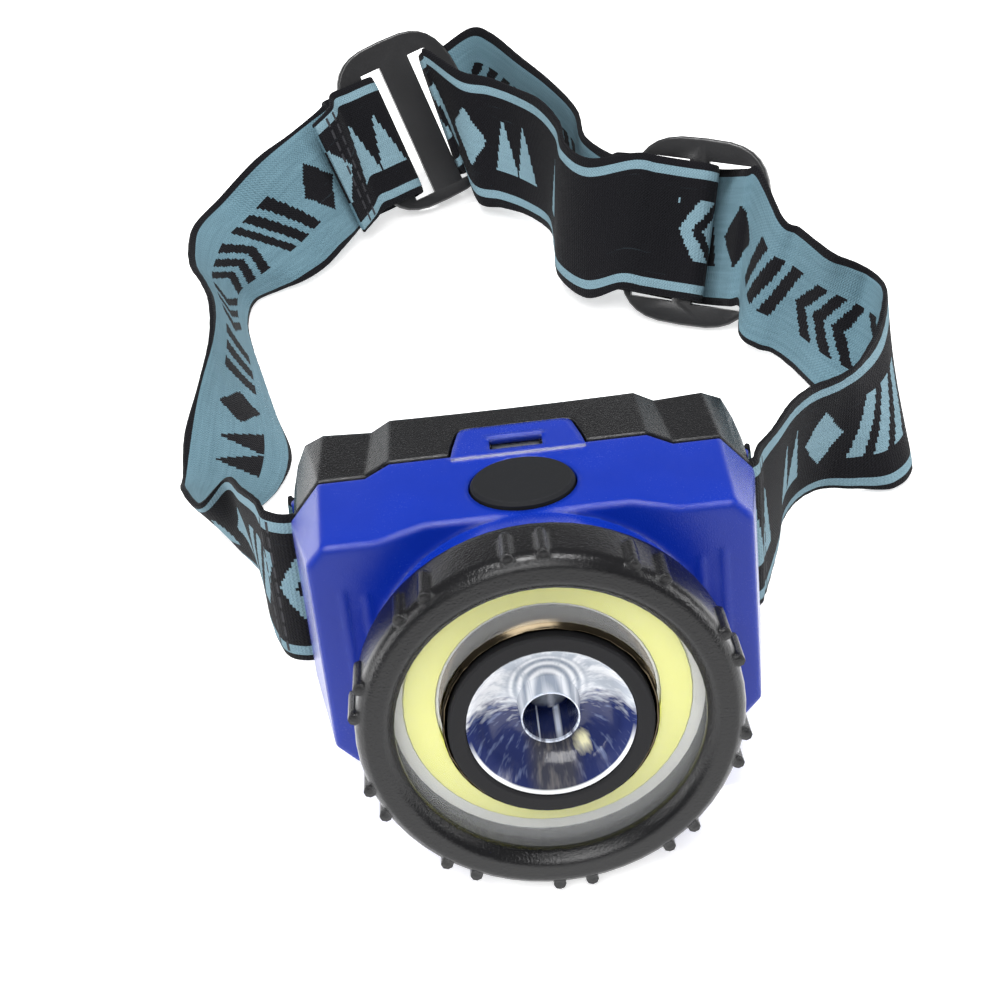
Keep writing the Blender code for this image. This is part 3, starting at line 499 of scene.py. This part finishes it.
def optics_material():
    """Painted refraction and reflections of the clear collimator: pale refracted rings above, deep blue
    lobes below.
    """
    sh = Shader("collimator_optics")
    x, z, _depth = sh.split(sh.attribute("seat")["Vector"])
    radius = sh.span(x, z)
    turn = sh.maths("ARCTAN2", z, x)
    polar = sh.nodes.new("ShaderNodeCombineXYZ")
    sh.plug(polar.inputs[0], sh.maths("MULTIPLY", turn, 2.2))
    sh.plug(polar.inputs[1], sh.maths("MULTIPLY", radius, 0.10))
    rays = sh.noise(1.6, 4.0, 0.65, polar.outputs[0])
    fine_rays = sh.noise(4.5, 2.0, 0.6, polar.outputs[0])
    # painted refraction: pale upper half with darker rays, deep blue lobes low on both sides
    pale = sh.mix(sh.clamp(rays, 0.42, 0.60), (0.50, 0.54, 0.60), (0.93, 0.94, 0.96))
    deep = sh.mix(sh.clamp(fine_rays, 0.56, 0.80), (0.020, 0.030, 0.120), (0.20, 0.25, 0.42))
    low = sh.mix(sh.clamp(fine_rays, 0.48, 0.74), (0.060, 0.062, 0.085), (0.20, 0.19, 0.19))
    edge = sh.maths("MULTIPLY_ADD", sh.maths("ABSOLUTE", x), 0.12, -8.3)
    edge = sh.maths("MULTIPLY_ADD", rays, 9.0, edge)
    edge = sh.maths("MULTIPLY_ADD", fine_rays, 6.5, edge)
    upper = sh.clamp(sh.maths("SUBTRACT", z, edge), -1.3, 1.3)
    middle = sh.clamp(sh.maths("ABSOLUTE", x), 4.2, 2.2)
    tone = sh.mix(upper, sh.mix(middle, deep, low), pale)
    # painted refraction: nested arcs over the well
    lift = sh.maths("SUBTRACT", z, 2.4)
    arcs = sh.span(x, lift)
    wander = sh.maths("MULTIPLY_ADD", rays, 1.6, sh.maths("MULTIPLY", arcs, 5.2))
    ring = sh.clamp(sh.maths("SINE", wander), -0.9, 0.9)
    near = sh.both(sh.clamp(arcs, 5.9, 4.9), sh.both(sh.clamp(z, 0.4, 2.2), sh.clamp(rays, 0.30, 0.52)))
    tone = sh.mix(near, tone, sh.mix(ring, (0.33, 0.37, 0.44), (0.92, 0.93, 0.95)))
    # well: painted refraction, a blue wall with upright streaks and a paler dome
    bars = sh.clamp(sh.maths("ABSOLUTE", sh.maths("SUBTRACT", x, 1.0)), 0.55, 0.20)
    thin = sh.clamp(sh.maths("ABSOLUTE", sh.maths("ADD", x, 1.7)), 0.16, 0.06)
    bars = sh.either(bars, thin)
    wall = sh.mix(bars, (0.010, 0.018, 0.085), (0.72, 0.78, 0.90))
    inside = sh.clamp(radius, 3.85, 3.70)
    dome = sh.mix(sh.clamp(z, -2.9, -1.5), (0.03, 0.05, 0.17), (0.42, 0.46, 0.52))
    dome = sh.mix(sh.clamp(sh.maths("ABSOLUTE", sh.maths("SUBTRACT", x, 0.4)), 0.6, 0.1), dome,
                  (0.85, 0.89, 0.95))
    tone = sh.mix(inside, tone, sh.mix(sh.clamp(radius, 3.2, 2.9), wall, dome))
    rim = sh.both(sh.maths("GREATER_THAN", radius, 3.78), sh.maths("LESS_THAN", radius, 4.02))
    tone = sh.mix(sh.both(rim, sh.clamp(rays, 0.35, 0.60)), tone, (0.70, 0.76, 0.88))
    # painted highlights: a bright crescent along the bottom edge and a warm glint of the yellow ring
    # beside the well
    crescent_highlight = sh.both(sh.clamp(radius, 11.05, 11.2), sh.clamp(z, -1.5, -5.0))
    tone = sh.mix(crescent_highlight, tone, (0.92, 0.94, 0.95))
    glint = sh.span(sh.maths("SUBTRACT", x, 4.1), sh.maths("MULTIPLY_ADD", z, 0.8, 5.2))
    glint = sh.maths("MULTIPLY_ADD", fine_rays, 1.4, sh.maths("SUBTRACT", glint, 0.7))
    tone = sh.mix(sh.clamp(glint, 1.35, 0.45), tone, (1.0, 0.96, 0.62))
    return sh.set(Base_Color=tone, Roughness=sh.maths("MULTIPLY_ADD", fine_rays, 0.10, 0.10),
                  Specular_IOR_Level=0.3, Coat_Weight=0.12, Coat_Roughness=0.05,
                  Normal=sh.bump(rays, 0.0003, 0.5))


optics = make_optics()
optics.data.materials.append(optics_material().material)
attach(optics, "lamp")
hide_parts("collimator_lens")


# ---------------------------------------------------------------- webbing

def ear_loop(side, way_out):
    """Stations of the band's sewn loop round a strap bar, from its free end to its way out."""
    reach = BAR_RADIUS + 0.35 + BAND_THICKNESS / 2
    plan = [(35.0, 10.3), (34.5, 9.4)]
    for degrees in (75, 120, 165, 210, 250, 285):
        angle = math.radians(degrees)
        plan.append((BAR_X + reach * math.cos(angle), BAR_Y + reach * math.sin(angle)))
    plan += way_out
    return [(from_lamp(side * x, y, BAND_LOW), from_lamp(side * x, y, BAND_HIGH)) for x, y in plan]


def buckle_axes(place):
    """Along-strap, up and outward directions of a buckle."""
    turn = Matrix.Rotation(math.radians(place["turn"]), 3, "Z")
    tip = Matrix.Rotation(-math.radians(place["lean"]), 3, "X")
    roll = Matrix.Rotation(-math.radians(place["roll"]), 3, "Y")
    return [turn @ tip @ roll @ Vector(axis) for axis in ((1, 0, 0), (0, 0, 1), (0, 1, 0))]


def at_buckle(place, plan, skew=0.0):
    """Stations of the band at (along, outward) points of a buckle."""
    along, up, out = buckle_axes(place)
    stations = []
    for u, n in plan:
        middle = Vector(place["centre"]) + along * u + out * n - up * n * BAND_RISE
        slant = along * skew
        stations.append((middle - up * BAND_HALF - slant, middle + up * BAND_HALF + slant))
    return stations


def smooth_path(stations, steps):
    """Points of one smooth curve that passes through every station."""
    padded = [2 * stations[0] - stations[1], *stations, 2 * stations[-1] - stations[-2]]
    path = []
    for before, start, end, after in zip(padded, padded[1:], padded[2:], padded[3:]):
        for step in range(steps):
            t = step / steps
            path.append(0.5 * (2 * start + (end - before) * t
                               + (2 * before - 5 * start + 4 * end - after) * t * t
                               + (3 * start - before - 3 * end + after) * t * t * t))
    path.append(stations[-1])
    return path


def band_profile():
    """(across from -1 to 1, height from -1 to 1, side) points round the band's cross-section."""
    inner = []
    for column in range(BAND_COLUMNS + 1):
        share = -1 + 2 * column / BAND_COLUMNS
        inner.append((share * 0.982, 1.0 - 0.35 * abs(share) ** 12, 1.0))
    edge = [(1.0, 0.4, 1.0), (1.0, -0.4, -1.0)]
    outer = [(across, -height, -1.0) for across, height, _side in reversed(inner)]
    back = [(-across, -height, -side) for across, height, side in edge]
    return inner + edge + outer + back


def webbing(name, stations, seams, plain):
    """A strip of webbing with rounded edges, and its weave coordinates for the material.

    seams are the places, counted in stations, where rows of stitches cross the band. Between the
    two stations in plain, the band has no motifs.
    """
    lows = smooth_path([Vector(low) for low, _high in stations], BAND_STEPS)
    highs = smooth_path([Vector(high) for _low, high in stations], BAND_STEPS)
    middles = [(low + high) / 2 for low, high in zip(lows, highs)]
    profile = band_profile()
    form = bmesh.new()
    weave = form.verts.layers.float_vector.new("weave")
    stitch = form.verts.layers.float.new("seam")
    printed = form.verts.layers.float.new("printed")
    reach = [0.0]
    for start, end in zip(middles, middles[1:]):
        reach.append(reach[-1] + (end - start).length)
    sewn = [reach[round(place * BAND_STEPS)] for place in seams]
    rows = []
    for index, (low, high) in enumerate(zip(lows, highs)):
        before, after = middles[max(index - 1, 0)], middles[min(index + 1, len(middles) - 1)]
        travelled = reach[index]
        half = (high - low) / 2
        across = (after - before).cross(half).normalized() * (BAND_THICKNESS / 2)
        row = []
        for share, height, side in profile:
            ripple = 0.06 * math.sin(travelled * 2.1) * abs(share) ** 6
            vert = form.verts.new((middles[index] + half * share + across * (height * 0.94 + ripple)
                                   + STAND) * MM)
            vert[weave] = (travelled, share * half.length, side)
            vert[stitch] = min((travelled - place for place in sewn), key=abs)
            vert[printed] = 0.0 if plain[0] < index / BAND_STEPS < plain[1] else 1.0
            row.append(vert)
        rows.append(row)
    count = len(profile)
    for lower, upper in zip(rows, rows[1:]):
        for index in range(count):
            after = (index + 1) % count
            form.faces.new((lower[index], lower[after], upper[after], upper[index]))
    form.faces.new(rows[0])
    form.faces.new(rows[-1])
    bmesh.ops.recalc_face_normals(form, faces=form.faces)
    return to_object(form, name, 70)


# Motif row along the band, in millimetres of its repeat
REPEAT = 58.0
STROKE = 2.6
CHEVRON_STARTS = (4.0, 8.4, 12.8)
SLANT_STARTS = (17.6, 21.9, 26.2)
DIAMOND_MIDDLE, DIAMOND_REACH = 36.0, 4.3
TEETH_START, TEETH_END, TOOTH = 42.0, 53.2, 2.8


def webbing_material():
    """Jacquard elastic: one face black with pale stripes and motifs, the other the reverse."""
    sh = Shader("jacquard_webbing")
    along, across, side = sh.split(sh.attribute("weave")["Vector"])
    pick = sh.maths("SNAP", along, 0.42)
    wale = sh.maths("SNAP", across, 0.5)
    edge = sh.maths("ABSOLUTE", across)
    # motif row, 12 mm tall: three chevrons, three slanted bars, a filled diamond, saw teeth
    run = sh.maths("PINGPONG", pick, REPEAT)
    height = sh.maths("ABSOLUTE", wale)
    lean = sh.maths("MULTIPLY_ADD", wale, 0.35, run)
    fold = sh.maths("MULTIPLY_ADD", height, 0.60, run)
    tall = sh.maths("LESS_THAN", height, 5.9)
    chevrons = sh.strokes(fold, CHEVRON_STARTS, STROKE)
    slants = sh.strokes(lean, SLANT_STARTS, STROKE)
    beside = sh.maths("ABSOLUTE", sh.maths("SUBTRACT", run, DIAMOND_MIDDLE))
    outline = sh.maths("MULTIPLY_ADD", height, 0.72, beside)
    diamond = sh.maths("LESS_THAN", outline, DIAMOND_REACH)
    saw = sh.maths("PINGPONG", sh.maths("SUBTRACT", run, TEETH_START), TOOTH)
    slope = sh.maths("MULTIPLY_ADD", wale, 0.24, 1.4)
    teeth = sh.both(sh.band(run, TEETH_START, TEETH_END), sh.maths("LESS_THAN", slope, saw))
    motif = sh.either(sh.either(chevrons, slants), sh.either(diamond, teeth))
    shown = sh.maths("GREATER_THAN", sh.attribute("printed")["Fac"], 0.5)
    motif = sh.both(sh.both(motif, tall), shown)
    front = sh.maths("LESS_THAN", side, 0.0)
    stripe = sh.band(edge, 9.9, 11.6)
    front_pale = sh.either(stripe, motif)
    rim = sh.maths("GREATER_THAN", edge, 11.5)
    back_dark = sh.either(rim, motif)
    pale = sh.maths("ADD", sh.maths("MULTIPLY", front, front_pale),
                    sh.maths("MULTIPLY", sh.maths("SUBTRACT", 1.0, front),
                             sh.maths("SUBTRACT", 1.0, back_dark)))
    # yarns: fine lengthwise cords crossed by picks
    yarn = sh.nodes.new("ShaderNodeCombineXYZ")
    sh.links.new(sh.maths("MULTIPLY", along, 0.001), yarn.inputs[0])
    sh.links.new(sh.maths("MULTIPLY", across, 0.001), yarn.inputs[1])
    sh.links.new(sh.maths("MULTIPLY", side, 0.01), yarn.inputs[2])
    cords = sh.maths("SINE", sh.maths("MULTIPLY", across, 2 * math.pi / 0.62))
    picks = sh.maths("SINE", sh.maths("MULTIPLY_ADD", cords, 0.9,
                                      sh.maths("MULTIPLY", along, 2 * math.pi / 0.55)))
    fuzz = sh.noise(5200, 2.0, 0.6, yarn.outputs[0])
    streaks = sh.noise(260, 3.0, 0.7, yarn.outputs[0], (0.35, 5.0, 1.0))
    weave = sh.maths("MULTIPLY_ADD", sh.maths("MULTIPLY", cords, picks), 0.5, 0.5)
    depth = sh.maths("MULTIPLY_ADD", fuzz, 0.5, weave)
    tone = sh.clamp(streaks, 0.25, 0.75)
    sky = sh.mix(tone, (0.068, 0.135, 0.170), (0.112, 0.205, 0.250))
    sky = sh.mix(sh.maths("MULTIPLY", weave, 0.35), sky, (0.17, 0.26, 0.31))
    sky = sh.mix(sh.maths("MULTIPLY", front, 0.30), sky, (0.26, 0.37, 0.42))
    ink = sh.mix(fuzz, (0.002, 0.002, 0.003), (0.007, 0.007, 0.009))
    ink = sh.mix(sh.maths("MULTIPLY", sh.clamp(streaks, 0.66, 0.78), 0.14), ink, (0.10, 0.16, 0.19))
    cloth = sh.mix(pale, ink, sky)
    offset = sh.maths("ABSOLUTE", sh.attribute("seam")["Fac"])
    dash = sh.maths("LESS_THAN", sh.maths("PINGPONG", across, 1.3), 0.95)
    inside = sh.maths("LESS_THAN", edge, 11.9)
    thread = sh.maths("MULTIPLY", sh.both(sh.band(offset, 0.7, 1.25), dash), inside)
    cloth = sh.mix(thread, cloth, (0.030, 0.030, 0.034))
    depth = sh.maths("ADD", depth, sh.maths("MULTIPLY", thread, 2.0))
    depth = sh.maths("SUBTRACT", depth, sh.maths("MULTIPLY", sh.band(offset, 0.3, 1.7), 1.2))
    sh.set(Base_Color=cloth, Roughness=sh.maths("MULTIPLY_ADD", fuzz, 0.2, 0.72),
           Normal=sh.bump(depth, 0.00016, 0.8), Specular_IOR_Level=0.10, Sheen_Weight=0.03,
           Sheen_Roughness=0.45)
    return sh.material


web = webbing_material()
left_ear, right_ear = ear_loop(-1, LEFT_WAY_OUT), ear_loop(1, RIGHT_WAY_OUT)
left_stations = left_ear + LEFT_ROUTE + at_buckle(JOINER, WRAP) + LEFT_TAIL
right_stations = at_buckle(SLIDER, SEWN_END) + INNER_ROUTE[::-1] + at_buckle(JOINER, FOLD, 1.1)
right_stations += OUTER_ROUTE + at_buckle(SLIDER, RUNNING) + RIGHT_ROUTE + right_ear[::-1]
left_last, right_last = len(left_stations) - 1, len(right_stations) - 1
SEAMS = {"strap_left": (0.7, 9.0, left_last - 10.0, left_last - 0.8),
         "strap_right": (1.0, right_last - 9.0, right_last - 0.7)}
PLAIN = {"strap_left": (-2.0, -1.0), "strap_right": (9.5, 15.0)}
for node_name, stations in (("strap_left", left_stations), ("strap_right", right_stations)):
    piece = webbing(node_name + "_webbing", stations, SEAMS[node_name], PLAIN[node_name])
    piece.data.materials.append(web)
    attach(piece, "lamp")
    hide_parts(node_name)


# ---------------------------------------------------------------- studio

FLOOR_DROP = -0.0004
LIT_POINT = (-0.005, -0.05, 0.02)
# name: place, size, power in watts
LIGHTS = {"top_strip": ((0.0, 0.10, 0.75), (0.45, 0.05), 7.0),
          "key_softbox": ((-0.10, -0.50, 0.75), (0.5, 0.35), 5.0),
          "left_strip": ((-0.65, -0.15, 0.22), (0.10, 0.5), 2.2),
          "right_strip": ((0.65, -0.10, 0.22), (0.10, 0.5), 2.2)}


def area_light(name, place, size, power):
    """A white rectangular softbox aimed at the lamp."""
    data = bpy.data.lights.new(name, "AREA")
    data.shape = "RECTANGLE"
    data.size, data.size_y = size
    data.energy = power
    item = bpy.data.objects.new(name, data)
    item.location = place
    item.rotation_euler = (Vector(LIT_POINT) - Vector(place)).to_track_quat("-Z", "Y").to_euler()
    bpy.context.scene.collection.objects.link(item)


def make_studio():
    """Pale floor, soft surrounding light, a front softbox, a narrow top strip and two side strips."""
    form = bmesh.new()
    bmesh.ops.create_grid(form, x_segments=8, y_segments=8, size=3.0)
    floor = to_object(form, "studio_floor")
    floor.location.z = FLOOR_DROP
    sh = Shader("studio_paper")
    sh.set(Base_Color=sh.mix(sh.noise(40), (0.90, 0.90, 0.90), (0.92, 0.92, 0.92)), Roughness=0.9,
           Emission_Color=(1.0, 1.0, 1.0, 1.0), Emission_Strength=0.50)
    floor.data.materials.append(sh.material)
    world = bpy.data.worlds.new("studio_world")
    bpy.context.scene.world = world
    world.use_nodes = True
    back = world.node_tree.nodes["Background"]
    back.inputs["Color"].default_value = (1.0, 1.0, 1.0, 1.0)
    back.inputs["Strength"].default_value = 0.20
    for name, (place, size, power) in LIGHTS.items():
        area_light(name, place, size, power)


make_studio()
lens = bpy.data.cameras.new("camera")
lens.lens = CAMERA_LENS
lens.sensor_width = 36.0
lens.clip_start = 0.01
camera = bpy.data.objects.new("camera", lens)
camera.location = CAMERA_PLACE
camera.rotation_euler = [math.radians(value) for value in CAMERA_TURN]
bpy.context.scene.collection.objects.link(camera)
bpy.context.scene.camera = camera
bpy.context.scene.view_settings.view_transform = "Standard"

bpy.context.view_layer.update()
